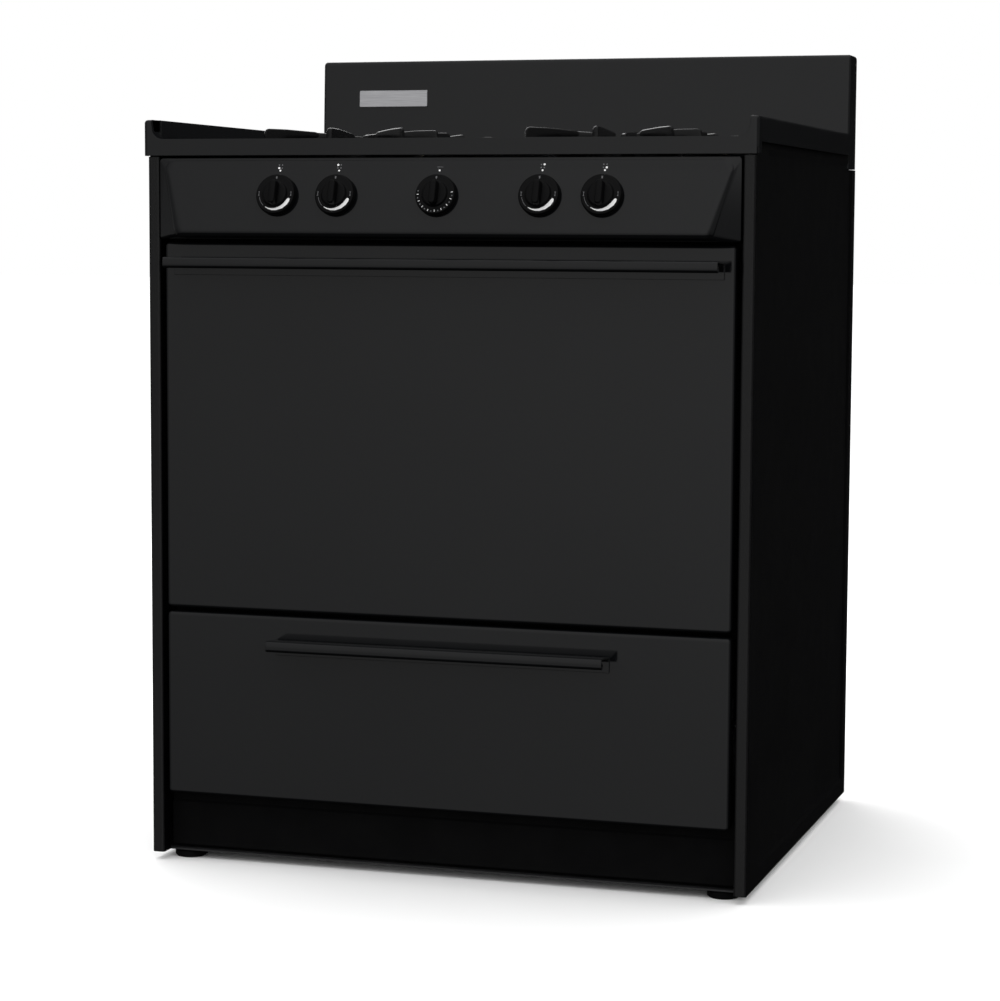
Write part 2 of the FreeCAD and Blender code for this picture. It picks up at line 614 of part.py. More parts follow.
def cooktop_hinges():
    x_out = BODY_W / 2 - SHEET - EMBOSS_DEPTH
    front, rear = LID_AXIS[0] - 4.2, LID_AXIS[0] + 2.4
    upright = [(front, 848), (rear, 848), (rear, LID_AXIS[1]), (front, LID_AXIS[1])]
    plate = prism(upright, 0, "X", x_out - 3, x_out)
    crown = cylinder(4.2, V(x_out - 3, *LID_AXIS), V(1, 0, 0), 3)
    pin = cylinder(LID_PIN_R, V(RIM_W / 2 - WALL_T - 2, *LID_AXIS), V(1, 0, 0), x_out - RIM_W / 2 + WALL_T)
    return pair(fuse([plate, crown, pin]))


def drip_bowls():
    bowls = []
    top = TRAY_Z + 1.5
    profile = [(47, top - 24), (56, top - 24), (84, top - 4), (87, top - 1.5), (96, top - 1.5), (98, top),
               (96, top + 0.8), (86, top + 0.2), (83, top - 2.6), (56, top - 22.8), (47, top - 22.8)]
    for x, y in burner_centres():
        bowls.append(lathe(profile, V(x, y, 0)))
    return Part.makeCompound(bowls)


def grate(x, y):
    """Pressed grate: four long and four short upright arms on a low square ring, open in the middle."""
    z0 = TRAY_Z + 0.2
    half, hole = GRATE_HALF, GRATE_HALF - GRATE_BAR
    ring_out = rounded_box(x - half, x + half, y - half, y + half, z0, z0 + 8, GRATE_ROUND)
    ring_in = rounded_box(x - hole, x + hole, y - hole, y + hole, z0 - 1, z0 + 9, GRATE_ROUND - GRATE_BAR)
    shapes = [ring_out.cut(ring_in)]
    for k in range(8):
        inner_r, outer_r, half_t = (24, half - 1, 3.5) if k % 2 == 0 else (56, GRATE_CORNER, 2.4)
        arm = prism([(outer_r, z0), (outer_r, GRATE_TOP), (outer_r - 34, GRATE_TOP - 0.5),
                     (inner_r, GRATE_TOP - 4), (inner_r, GRATE_TOP - 10), (outer_r - 30, GRATE_TOP - 13),
                     (outer_r - 6, z0 + 3), (outer_r - 6, z0)], [0, 5, 20, 2.8, 2.8, 14, 0, 0], "Y", -half_t, half_t)
        arm.rotate(V(0, 0, 0), V(0, 0, 1), 45 * k)
        arm.translate(V(x, y, 0))
        shapes.append(arm)
    return fuse(shapes)


# ---- control panel, knobs ----
def face_wire(inset, depth, radius):
    """The sloped face's outline, drawn in by inset and sunk by depth behind the face."""
    centre = V(0, (FACE_TOP[0] + FACE_BOTTOM[0]) / 2, (FACE_TOP[1] + FACE_BOTTOM[1]) / 2)
    up = math.hypot(FACE_TOP[0] - FACE_BOTTOM[0], FACE_TOP[1] - FACE_BOTTOM[1]) / 2 - inset
    top, bottom = (half - inset for half in FACE_HALF)
    points = [centre + V(x, 0, 0) + FACE_UP * v - KNOB_AXIS * depth
              for x, v in ((-top, up), (top, up), (bottom, -up), (-bottom, -up))]
    return rounded_wire(points, radius)


def panel_wire(inset, y, radius):
    """The control panel's upright outline at depth y, drawn in by inset."""
    half, z0, z1 = PANEL_HALF - inset, PANEL_BOTTOM + inset, PANEL_TOP - inset
    return rounded_wire([V(-half, y, z1), V(half, y, z1), V(half, y, z0), V(-half, y, z0)], radius)


def control_panel():
    """Formed box: a sloped face that stands proud at the bottom, soft facets round it, open at the back."""
    facets = Part.makeLoft([panel_wire(0, FRONT - 1, 4.0), face_wire(0, 1.4, 9.0)], True, True)
    edge_break = Part.makeLoft([face_wire(0, 1.4, 9.0), face_wire(2.6, 0, 7.0)], True, True)
    collar = rounded_box(-PANEL_HALF, PANEL_HALF, FRONT - 1, FRONT + 20, PANEL_BOTTOM, PANEL_TOP, 4, "Y")
    hollow = Part.makeLoft([panel_wire(3, FRONT - 1, 3.0), face_wire(8, 2.0, 5.0)], True, True)
    rear = rounded_box(-PANEL_HALF + 3, PANEL_HALF - 3, FRONT - 1, FRONT + 21,
                       PANEL_BOTTOM + 3, PANEL_TOP - 3, 3, "Y")
    holes = [cylinder(4.2, knob_point(x, -20), KNOB_AXIS, 40) for x in KNOB_X]
    return cut(fuse([facets, edge_break, collar]), [hollow, rear] + holes)


def knob(x):
    """Round skirt with a flat marked face, a low hub and a finger bar across the hub."""
    skirt = Part.makeCone(KNOB_R, KNOB_R - 1.8, SKIRT_T, V(0, 0, 0), V(0, 0, 1))
    skirt = skirt.makeFillet(1.4, [e for e in skirt.Edges if abs(e.BoundBox.ZMin - SKIRT_T) < 1e-6])
    hub = Part.makeCone(HUB_R, HUB_R - 1.2, 3.2, V(0, 0, SKIRT_T - 0.5), V(0, 0, 1))
    grip = rounded_box(-BAR_HALF_W, BAR_HALF_W, -HUB_R + 0.6, HUB_R - 0.6, SKIRT_T, KNOB_H, 4.2)
    grip = grip.makeFillet(1.8, [e for e in grip.Edges if abs(e.BoundBox.ZMin - KNOB_H) < 1e-6])
    socket = cylinder(3.06, V(0, 0, -1), V(0, 0, 1), 16)
    whole = cut(fuse([skirt, hub, grip]), [socket])
    whole.rotate(V(0, 0, 0), V(1, 0, 0), 90 - math.degrees(FACE_TILT))
    whole.translate(knob_point(x, KNOB_GAP))
    return whole


def knob_stem(x):
    start = knob_point(x, -22)
    stem = cylinder(3.0, start, KNOB_AXIS, 22 + 15)
    collar = cylinder(3.9, knob_point(x, -8.5), KNOB_AXIS, 3)
    return fuse([stem, collar])


# ---- backguard ----
def backguard():
    outline = [(GUARD_FOOT_Y, 868), (GUARD_HEAD_Y, GUARD_TOP), (BACK - 1.5, GUARD_TOP), (BACK - 1.5, 868)]
    shell = prism(outline, [0, 6, 6, 0], "X", -BODY_W / 2, BODY_W / 2)
    side_edges = [e for e in shell.Edges if abs(e.BoundBox.XMax - e.BoundBox.XMin) < 1e-6
                  and e.BoundBox.ZMax > GUARD_TOP - 10 and e.BoundBox.YMax < BACK + 1
                  and not (e.BoundBox.YMin > BACK - 1.6)]
    shell = shell.makeFillet(4, side_edges)
    t = SHEET + 0.6
    inside = prism([(GUARD_FOOT_Y + t, 850), (GUARD_HEAD_Y + t, GUARD_TOP - t), (BACK - 4, GUARD_TOP - t),
                    (BACK - 4, 850)], [0, 4, 4, 0], "X", -BODY_W / 2 + t, BODY_W / 2 - t)
    vents = [rounded_box(x - 11, x + 11, BACK - 6, BACK + 2, 930, 936, 2.9, "Y") for x in range(-90, 91, 30)]
    vents += [rounded_box(x - 11, x + 11, BACK - 6, BACK + 2, 946, 952, 2.9, "Y") for x in range(-90, 91, 30)]
    return cut(shell, [inside] + vents)


def guard_y(z):
    return GUARD_FOOT_Y + (z - 868) / (GUARD_TOP - 868) * (GUARD_HEAD_Y - GUARD_FOOT_Y)


def badge():
    z0, z1 = 956.0, 979.0
    plate = rounded_box(-322, -221, -1.6, 0, z0, z1, 1.5, "Y")
    plate = plate.makeChamfer(0.5, [e for e in plate.Edges if abs(e.BoundBox.YMax + 1.6) < 1e-6])
    tilt = math.degrees(math.atan2(GUARD_HEAD_Y - GUARD_FOOT_Y, GUARD_TOP - 868))
    plate.rotate(V(0, 0, (z0 + z1) / 2), V(1, 0, 0), -tilt)
    plate.translate(V(0, guard_y((z0 + z1) / 2), 0))
    return plate


def flue_duct():
    tall = rounded_box(-60, 60, 305, 326, 866, 960, 4)
    bend = [(140, 771), (200, 771), (326, 838), (326, 867), (305, 867), (305, 856), (150, 800)]
    inner_bend = [(143, 772.5), (199, 772.5), (324.5, 839), (324.5, 870), (306.5, 870), (306.5, 855), (152, 799)]
    elbow = prism(bend, 0, "X", -60, 60)
    collar = cylinder(24.5, V(0, FLUE_Y, OVEN_Z[1] + SHEET), V(0, 0, 1), 771 - OVEN_Z[1])
    inner_elbow = prism(inner_bend, 0, "X", -58.5, 58.5)
    inner = rounded_box(-58.5, 58.5, 306.5, 324.5, 860, 961, 3)
    inner_collar = cylinder(23, V(0, FLUE_Y, OVEN_Z[1]), V(0, 0, 1), 40)
    whole = fuse([tall, elbow, collar])
    return cut(whole, [inner_elbow, inner, inner_collar])


# ---- door ----
def hinge_notch(sign, y0, y1):
    return box(sign * HINGE_X - 14, sign * HINGE_X + 14, y0, y1, 310, 384)


def door_panel():
    pan = pan_to_back(DOOR_HALF, DOOR_Z[0], DOOR_Z[1], FRONT, FRONT + 22, SHEET, 5, 4)
    notches = [box(s * HINGE_X - 8, s * HINGE_X + 8, FRONT + 4.5, FRONT + 30, DOOR_Z[0] - 2, DOOR_Z[0] + 3)
               for s in (-1, 1)]
    return cut(pan, notches)


def door_liner():
    z0, z1 = DOOR_Z[0] + 5, DOOR_Z[1] - 5
    plate = rounded_box(-350, 350, DOOR_REAR - SHEET, DOOR_REAR, z0, z1, 6, "Y")
    skirt = rounded_box(-350, 350, FRONT + 22.2, DOOR_REAR, z0, z1, 6, "Y")
    inside = rounded_box(-350 + SHEET, 350 - SHEET, FRONT, DOOR_REAR - SHEET, z0 + SHEET, z1 - SHEET, 5, "Y")
    skirt = skirt.cut(inside)
    plug = rounded_box(-282, 282, DOOR_REAR, DOOR_REAR + 11, 354, 730, 14, "Y")
    plug = plug.makeFillet(5, [e for e in plug.Edges if abs(e.BoundBox.YMin - DOOR_REAR - 11) < 1e-6])
    recess = rounded_box(-282 + SHEET, 282 - SHEET, DOOR_REAR - 2, DOOR_REAR + 11 - SHEET,
                         354 + SHEET, 730 - SHEET, 14 - SHEET, "Y")
    recess = recess.makeFillet(5 - SHEET, [e for e in recess.Edges
                                           if abs(e.BoundBox.YMin - DOOR_REAR - 11 + SHEET) < 1e-6])
    notches = [box(s * HINGE_X - 8, s * HINGE_X + 8, FRONT, DOOR_REAR + 4, z0 - 2, 346) for s in (-1, 1)]
    return cut(fuse([plate, skirt, plug]), [recess] + notches)


def door_insulation():
    slab = box(-346, 346, FRONT + SHEET, DOOR_REAR - SHEET, DOOR_Z[0] + 7, DOOR_Z[1] - 7)
    return cut(slab, [hinge_notch(s, FRONT, DOOR_REAR) for s in (-1, 1)])


def door_hinge_arms():
    y, z = DOOR_AXIS
    shapes = []
    for side in (-1, 1):
        outline = [(y - 8, z - 6), (y + 6, z - 6), (y + 16, z + 46), (y - 8, z + 46)]
        ear = prism(outline, [5, 5, 3, 3], "X", 0, 2.5)
        for x in (HINGE_X - 12.5, HINGE_X + 10.0):
            shapes.append(ear.translated(V(side * x if side > 0 else side * x - 2.5, 0, 0)))
        shapes.append(cylinder(DOOR_PIN_R, V(side * HINGE_X - 12.5, y, z), V(1, 0, 0), 25))
        x = side * HINGE_X
        shapes.append(box(x - 12.5, x + 12.5, FRONT + SHEET, y - 5.5, z + 20, z + 46))
    half = len(shapes) // 2
    return Part.makeCompound([fuse(shapes[:half]), fuse(shapes[half:])])


def hinge_receivers():
    y, z = DOOR_AXIS
    solids = []
    for side in (-1, 1):
        x = side * HINGE_X - 3
        eye = ring(9, DOOR_PIN_R + 0.06, V(x, y, z), V(1, 0, 0), 6)
        wall = OVEN_Y[0]
        outline = [(y + 8, z - 5), (wall + 58, z - 5), (wall + 58, z + 22), (wall + 8, z + 22), (wall + 2, z + 5),
                   (y + 8, z + 5)]
        arm = prism(outline, 0, "X", x, x + 6)
        plate = box(x - 4, x + 10, wall + 0.2, wall + 2.2, z - 8, z + 30)
        clear = cylinder(9, V(x, y, z), V(1, 0, 0), 6)
        solids.append(fuse([eye, arm.cut(clear), plate]))
    return Part.makeCompound(solids)


def handle(half, z_top):
    """Full-length pull: a shelf that leaves the panel near its top, a short front lip, a rolled lower edge."""
    y = FRONT - HANDLE_PROUD
    path = [(FRONT - 0.2, z_top - 22), (FRONT - 0.2, z_top - 2), (y + 3, z_top), (y, z_top - 11),
            (y + 9, z_top - 14), (y + 9, z_top - 6.5)]
    return strip(path, 2.0, 1.6, "X", -half, half)


# ---- drawer ----
def drawer_front():
    return pan_to_back(DOOR_HALF, DRAWER_Z[0], DRAWER_Z[1], FRONT, FRONT + 20, SHEET, 5, 4)


def drawer_box():
    half, y0, y1, z0, z1 = DRAWER_BOX
    outer = rounded_box(-half, half, y0, y1, z0, z1, 6)
    inner = rounded_box(-half + SHEET, half - SHEET, y0 + SHEET, y1 - SHEET, z0 + SHEET, z1 + 1, 5)
    flanges = [box(half - 1, half + 10, y0 + 4, y1 - 4, z1 - SHEET, z1)]
    flanges.append(mirror_x(flanges[0]))
    return fuse([outer.cut(inner)] + flanges)


def drawer_rails():
    half, y0, y1, z0, z1 = DRAWER_BOX
    ledge = strip([(half + 34, z1 - 40), (half + 34, z1 - 2), (half + 3, z1 - 2)], 1.6, 2, "Y", -240, 250)
    guard = strip([(half + 34, z1 + 30), (half + 34, z1 + 6), (half + 3, z1 + 6)], 1.6, 2, "Y", -240, 250)
    wall = BODY_W / 2 - SHEET - EMBOSS_DEPTH
    post = box(half + 34, wall, -60, 60, z1 - 30, z1 - 10)
    post_high = box(half + 34, wall, -60, 60, z1 + 12, z1 + 26)
    tie = box(half + 33, half + 35.6, -60, 60, z1 - 12, z1 + 14)
    return pair(fuse([ledge, guard, post, post_high, tie]))


def broiler_pan():
    half, y0, y1, z0, z1 = DRAWER_BOX
    outer = rounded_box(-205, 205, -220, 100, z0 + SHEET + 0.1, z0 + 40, 18)
    inner = rounded_box(-203.6, 203.6, -218.6, 98.6, z0 + SHEET + 1.5, z0 + 42, 16.6)
    rim = rounded_box(-212, 212, -227, 107, z0 + 38.6, z0 + 40, 22)
    rim = rim.cut(rounded_box(-203.6, 203.6, -218.6, 98.6, z0 + 30, z0 + 44, 16.6))
    return fuse([outer.cut(inner), rim])


def broiler_grid():
    z = DRAWER_BOX[3] + 40.2
    plate = rounded_box(-208, 208, -223, 103, z, z + 1.4, 20)
    slots = []
    for x in range(-180, 181, 24):
        for y in (-195, -95, 5):
            slots.append(rounded_box(x - 3.5, x + 3.5, y, y + 76, z - 1, z + 3, 3.4))
    return cut(plate, slots)


# ---- fasteners ----
def cabinet_screws():
    rear = V(0, 1, 0)
    screws = [screw_head(V(x, BACK - 2.2 + 1.2, z), rear, 4.2, 0.9) for x in (-352, 352)
              for z in (170, 400, 620, 850)]
    screws += [screw_head(V(x, BACK - 1.5, z), rear, 4.2, 1.4) for x in (-352, -120, 120, 352)
               for z in (890, 1004)]
    return Part.makeCompound(screws)


def main():
    os.makedirs("parts", exist_ok=True)
    right_side = side_panel_right()
    shapes = {
        "side_panel_right": right_side,
        "side_panel_left": mirror_x(right_side),
        "back_panel": back_panel(),
        "base_frame": base_frame(),
        "levelling_feet": levelling_feet(),
        "kick_plate": kick_plate(),
        "oven_liner": oven_liner(),
        "front_frame": front_frame(),
        "door_gasket": door_gasket(),
        "oven_floor": oven_floor(),
        "oven_burner": oven_burner(),
        "flame_spreader": flame_spreader(),
        "insulation": insulation(),
        "rack_guides": rack_guides(),
        "oven_rack_lower": oven_rack(RACK_Z[0]),
        "oven_rack_upper": oven_rack(RACK_Z[1]),
        "thermostat": thermostat(),
        "gas_manifold": gas_manifold(),
        "pressure_regulator": pressure_regulator(),
        "safety_valve": safety_valve(),
        "oven_gas_tube": oven_gas_tube(),
        "burner_box_floor": burner_box_floor(),
        "burner_heads": burner_heads(),
        "burner_tubes": burner_tubes(),
        "burner_valves": burner_valves(),
        "spark_electrodes": spark_electrodes(),
        "cooktop": cooktop(),
        "cooktop_hinges": cooktop_hinges(),
        "drip_bowls": drip_bowls(),
        "control_panel": control_panel(),
        "backguard": backguard(),
        "badge": badge(),
        "flue_duct": flue_duct(),
        "door_panel": door_panel(),
        "door_liner": door_liner(),
        "door_insulation": door_insulation(),
        "door_hinge_arms": door_hinge_arms(),
        "hinge_receivers": hinge_receivers(),
        "door_handle": handle(DOOR_HANDLE_HALF, DOOR_Z[1] - 17),
        "drawer_front": drawer_front(),
        "drawer_box": drawer_box(),
        "drawer_rails": drawer_rails(),
        "drawer_handle": handle(DRAWER_HANDLE_HALF, DRAWER_Z[1] - 25.5),
        "broiler_pan": broiler_pan(),
        "broiler_grid": broiler_grid(),
        "cabinet_screws": cabinet_screws(),
    }
    for x_name, x in (("left", -BURNER_X), ("right", BURNER_X)):
        for y_name, y in zip(("front", "rear"), BURNER_Y):
            shapes[f"grate_{x_name}_{y_name}"] = grate(x, y)
    for name, x in zip(KNOB_NAMES, KNOB_X):
        shapes[f"knob_{name}"] = knob(x)
        shapes[f"stem_{name}"] = knob_stem(x)
    centre_y = (shapes["knob_oven"].optimalBoundingBox(False, False).YMin + BACK) / 2
    print(f"moved by {-centre_y:.4f} along Y to put the origin under the middle")
    for name, shape in shapes.items():
        shape.translate(V(0, -centre_y, 0))
        shape.exportStep(f"parts/{name}.step")
        b = shape.BoundBox
        sides = f"x {b.XMin:.1f}..{b.XMax:.1f} y {b.YMin:.1f}..{b.YMax:.1f} z {b.ZMin:.1f}..{b.ZMax:.1f}"
        print(f"{name:26s} solids {len(shape.Solids)} valid {shape.isValid()} volume {shape.Volume:.0f} {sides}")


main()
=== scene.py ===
"""Looks of a freestanding gas range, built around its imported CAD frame. Metres, +Y to the back, +Z up."""
import json
import math

import bmesh
import bpy
from mathutils import Matrix, Vector


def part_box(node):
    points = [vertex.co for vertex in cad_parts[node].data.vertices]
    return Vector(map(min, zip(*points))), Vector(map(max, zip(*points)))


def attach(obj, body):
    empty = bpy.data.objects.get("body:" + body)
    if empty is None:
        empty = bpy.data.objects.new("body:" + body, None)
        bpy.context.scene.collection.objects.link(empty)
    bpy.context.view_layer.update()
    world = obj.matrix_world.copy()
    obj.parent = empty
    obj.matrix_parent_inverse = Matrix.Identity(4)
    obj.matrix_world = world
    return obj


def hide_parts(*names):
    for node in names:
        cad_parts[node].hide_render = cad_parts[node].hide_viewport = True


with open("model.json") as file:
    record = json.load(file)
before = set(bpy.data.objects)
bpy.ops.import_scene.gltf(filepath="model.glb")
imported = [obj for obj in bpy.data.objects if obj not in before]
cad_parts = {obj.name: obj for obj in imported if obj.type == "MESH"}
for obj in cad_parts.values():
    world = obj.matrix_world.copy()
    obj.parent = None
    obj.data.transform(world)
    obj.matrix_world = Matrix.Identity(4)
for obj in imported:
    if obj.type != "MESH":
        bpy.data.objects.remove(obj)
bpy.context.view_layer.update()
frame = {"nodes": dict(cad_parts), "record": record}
NODES = frame["nodes"]
MM = 0.001

# Studio, in metres and watts
EYE = (1.032, -3.3679, 0.7788)
YAW, PITCH, ROLL = 0.3028, 0.0974, 0.0054            # radians
LENS, SENSOR = 98.14, 36.0
GLOSS_GLOW = 0.53            # what the enamel mirrors in front of the range
DIFFUSE_GLOW = 1.45          # what lights the floor
DARK_CORNER = (0.20, 0.97, -0.12)
LIGHTS = (("top", (-0.5, -0.4, 3.4), 2.0, 26, False),    # name, place, size, power, seen in reflections
          ("back", (-1.9, 3.0, 2.4), 2.6, 45, True))
LIGHT_TARGET = (0, 0, 0.5)
FLOOR_REACH = 40.0

FLANGE_Y = (-0.3003, -0.2990)                        # where a side panel's front flange ends
# Flat black: the kick plate's and the feet's own paint, and painted shade on the front frame, which shows only
# through gaps.
BLACK_AND_SHADE_NODES = ("kick_plate", "front_frame", "levelling_feet")

# Millimetres, as in the CAD
KNOB_GAP = 3.0
PANEL_DEPTH = 21.0           # control panel's upright rim
PANEL_WALL = 3.0
PANEL_ROLL = 9.0             # radius of the soft edge round its face
FACE_EDGES = ((44.4, 355.5), (-49.7, 332.0))         # sloped face: height from the knobs' line, half width
GRATE_HALF = 106.0           # half width of a grate's ring
GRATE_CORNER = 128.0         # reach of its short arms
GRATE_ROUND = 45.0           # corner radius of its ring
TAB_WIDTH, TAB_RISE = 20.0, 50.0                     # dark end tabs behind the kick plate, painted shade in the gaps beside the drawer box


# ---- camera, light and floor ----
def make_camera():
    """Eye a little below the cooktop, in front and to the right of the range."""
    forward = Vector((-math.sin(YAW) * math.cos(PITCH), math.cos(YAW) * math.cos(PITCH), -math.sin(PITCH)))
    level = Vector((math.cos(YAW), math.sin(YAW), 0.0))
    upright = level.cross(forward)
    right = level * math.cos(ROLL) + upright * math.sin(ROLL)
    up = upright * math.cos(ROLL) - level * math.sin(ROLL)
    data = bpy.data.cameras.new("camera")
    data.sensor_width = SENSOR
    data.lens = LENS
    camera = bpy.data.objects.new("camera", data)
    camera.matrix_world = Matrix.Translation(EYE) @ Matrix((right, up, -forward)).transposed().to_4x4()
    bpy.context.scene.collection.objects.link(camera)
    bpy.context.scene.camera = camera


def area_light(name, place, target, size, watts, mirrored):
    data = bpy.data.lights.new(name, "AREA")
    data.shape = "SQUARE"
    data.size = size
    data.energy = watts
    light = bpy.data.objects.new(name, data)
    light.location = place
    light.rotation_euler = (Vector(target) - Vector(place)).to_track_quat("-Z", "Y").to_euler()
    light.visible_glossy = mirrored
    bpy.context.scene.collection.objects.link(light)
    return light


def make_world():
    """White to the eye. Reflections see an even grey studio, dark behind the range on the right."""
    world = bpy.data.worlds.new("studio")
    world.use_nodes = True
    bpy.context.scene.world = world
    nodes, links = world.node_tree.nodes, world.node_tree.links
    nodes.clear()

    def fade(source, start, end, low, high):
        node = nodes.new("ShaderNodeMapRange")
        node.interpolation_type = "SMOOTHSTEP"
        for key, value in (("From Min", start), ("From Max", end), ("To Min", low), ("To Max", high)):
            node.inputs[key].default_value = value
        links.new(source, node.inputs["Value"])
        return node.outputs[0]

    def multiply(first, second):
        node = nodes.new("ShaderNodeMath")
        node.operation = "MULTIPLY"
        links.new(first, node.inputs[0])
        links.new(second, node.inputs[1])
        return node.outputs[0]

    def background(strength):
        node = nodes.new("ShaderNodeBackground")
        node.inputs["Color"].default_value = (1, 1, 1, 1)
        if isinstance(strength, float):
            node.inputs["Strength"].default_value = strength
        else:
            links.new(strength, node.inputs["Strength"])
        return node.outputs[0]

    def choose(factor, off, on):
        node = nodes.new("ShaderNodeMixShader")
        links.new(factor, node.inputs[0])
        links.new(off, node.inputs[1])
        links.new(on, node.inputs[2])
        return node.outputs[0]

    coord = nodes.new("ShaderNodeTexCoord")
    split = nodes.new("ShaderNodeSeparateXYZ")
    links.new(coord.outputs["Generated"], split.inputs[0])
    corner = nodes.new("ShaderNodeVectorMath")
    corner.operation = "DOT_PRODUCT"
    corner.inputs[1].default_value = Vector(DARK_CORNER).normalized()
    links.new(coord.outputs["Generated"], corner.inputs[0])
    dark = fade(corner.outputs["Value"], 0.45, 0.76, GLOSS_GLOW, 0.006)
    left = fade(split.outputs["X"], -0.95, -0.05, 0.3, 1.22)
    right = fade(split.outputs["X"], 0.25, 0.80, 1.0, 0.30)
    low = fade(split.outputs["Z"], -0.24, -0.02, 0.70, 1.0)
    floor = fade(split.outputs["Z"], -0.54, -0.42, 0.05, 1.0)
    glossy = background(multiply(multiply(dark, multiply(left, right)), multiply(low, floor)))
    diffuse = background(fade(split.outputs["Z"], -0.05, 0.05, 0.0, DIFFUSE_GLOW))
    path = nodes.new("ShaderNodeLightPath")
    light = choose(path.outputs["Is Glossy Ray"], diffuse, glossy)
    output = nodes.new("ShaderNodeOutputWorld")
    links.new(choose(path.outputs["Is Camera Ray"], light, background(1.0)), output.inputs["Surface"])


def make_stage():
    """A pale plain floor, lit evenly by the studio, and soft lights for the edges and the bare metals."""
    mesh = bpy.data.meshes.new("floor")
    corners = [(x * FLOOR_REACH, y * FLOOR_REACH, 0) for x, y in ((-1, -1), (1, -1), (1, 1), (-1, 1))]
    mesh.from_pydata(corners, [], [(0, 1, 2, 3)])
    floor = bpy.data.objects.new("floor", mesh)
    floor.visible_glossy = False
    floor.visible_diffuse = False
    bpy.context.scene.collection.objects.link(floor)
    floor.data.materials.append(floor_material())
    for name, place, size, watts, mirrored in LIGHTS:
        area_light(name, place, LIGHT_TARGET, size, watts, mirrored)


# ---- materials ----
class Shader:
    """A Principled material with short helpers for the procedural nodes that feed it."""

    def __init__(self, name, colour, roughness, metallic=0.0, specular=0.5):
        self.material = bpy.data.materials.new(name)
        self.material.use_nodes = True
        self.nodes = self.material.node_tree.nodes
        self.links = self.material.node_tree.links
        self.principled = self.nodes["Principled BSDF"]
        self.set("Base Color", (*colour, 1.0))
        self.set("Roughness", roughness)
        self.set("Metallic", metallic)
        self.set("Specular IOR Level", specular)
        self.coord = self.nodes.new("ShaderNodeTexCoord")

    def set(self, socket, value):
        self.principled.inputs[socket].default_value = value

    def texture(self, kind, scale, stretch=(1, 1, 1), **settings):
        mapping = self.nodes.new("ShaderNodeMapping")
        mapping.inputs["Scale"].default_value = stretch
        self.links.new(self.coord.outputs["Object"], mapping.inputs["Vector"])
        node = self.nodes.new(kind)
        self.links.new(mapping.outputs[0], node.inputs["Vector"])
        node.inputs["Scale"].default_value = scale
        for key, value in settings.items():
            node.inputs[key.replace("_", " ")].default_value = value
        return node

    def ramp(self, source, stops):
        node = self.nodes.new("ShaderNodeValToRGB")
        elements = node.color_ramp.elements
        while len(elements) < len(stops):
            elements.new(0.5)
        for element, (position, colour) in zip(elements, stops):
            element.position = position
            element.color = (*colour, 1.0) if len(colour) == 3 else colour
        self.links.new(source, node.inputs[0])
        return node.outputs[0]

    def span(self, source, low, high, to_low, to_high):
        node = self.nodes.new("ShaderNodeMapRange")
        for key, value in (("From Min", low), ("From Max", high), ("To Min", to_low), ("To Max", to_high)):
            node.inputs[key].default_value = value
        self.links.new(source, node.inputs["Value"])
        return node.outputs[0]

    def feed(self, socket, source):
        self.links.new(source, self.principled.inputs[socket])

    def soften(self, radius):
        """Rounds edges in the shading only."""
        node = self.nodes.new("ShaderNodeBevel")
        node.samples = 4
        node.inputs["Radius"].default_value = radius
        self.feed("Normal", node.outputs[0])

    def bump(self, source, strength, distance):
        node = self.nodes.new("ShaderNodeBump")
        node.inputs["Strength"].default_value = strength
        node.inputs["Distance"].default_value = distance
        self.links.new(source, node.inputs["Height"])
        previous = self.principled.inputs["Normal"].links
        if previous:
            self.links.new(previous[0].from_socket, node.inputs["Normal"])
        self.feed("Normal", node.outputs[0])


def floor_material():
    shader = Shader("floor_white", (0.86, 0.86, 0.86), 0.9, specular=0.0)
    grain = shader.texture("ShaderNodeTexNoise", 3.0, Detail=2.0)
    shader.feed("Base Color", shader.ramp(grain.outputs["Fac"], [
        (0.3, (0.86, 0.86, 0.86)), (0.7, (0.88, 0.88, 0.88))]))
    return shader.material


def gloss_enamel():
    """Black porcelain: almost mirror-smooth, with the faint orange peel of fired enamel."""
    shader = Shader("gloss_enamel", (0.0055, 0.0058, 0.0065), 0.08, specular=0.42)
    shader.soften(0.0012)
    cloud = shader.texture("ShaderNodeTexNoise", 14.0, Detail=3.0)
    shader.feed("Roughness", shader.span(cloud.outputs["Fac"], 0.3, 0.7, 0.06, 0.11))
    tint = shader.texture("ShaderNodeTexNoise", 5.0, Detail=2.0)
    shader.feed("Base Color", shader.ramp(tint.outputs["Fac"], [(0.3, (0.0035, 0.0037, 0.0042)),
                                                                (0.7, (0.0043, 0.0046, 0.0051))]))
    peel = shader.texture("ShaderNodeTexNoise", 160.0, Detail=1.0)
    shader.bump(peel.outputs["Fac"], 0.05, 0.0004)
    return shader.material


def textured_enamel():
    """Side panels: black enamel with a fine pebble, smooth and glossy on the front flange."""
    shader = Shader("textured_enamel", (0.0008, 0.0008, 0.001), 0.34, specular=0.1)
    shader.soften(0.0014)
    pebble = shader.texture("ShaderNodeTexVoronoi", 620.0)
    grain = shader.texture("ShaderNodeTexNoise", 900.0, Detail=2.0)
    shader.bump(pebble.outputs["Distance"], 0.35, 0.0005)
    shader.bump(grain.outputs["Fac"], 0.2, 0.0003)
    depth = shader.nodes.new("ShaderNodeSeparateXYZ")
    shader.links.new(shader.coord.outputs["Object"], depth.inputs[0])
    front, behind = FLANGE_Y
    shader.feed("Specular IOR Level", shader.span(depth.outputs["Y"], front, behind, 0.36, 0.1))
    cloud = shader.texture("ShaderNodeTexNoise", 8.0, Detail=3.0)
    rough = shader.nodes.new("ShaderNodeMath")
    rough.operation = "MULTIPLY"
    shader.links.new(shader.span(cloud.outputs["Fac"], 0.3, 0.7, 0.30, 0.42), rough.inputs[0])
    shader.links.new(shader.span(depth.outputs["Y"], front, behind, 0.4, 1.0), rough.inputs[1])
    shader.feed("Roughness", rough.outputs[0])
    return shader.material


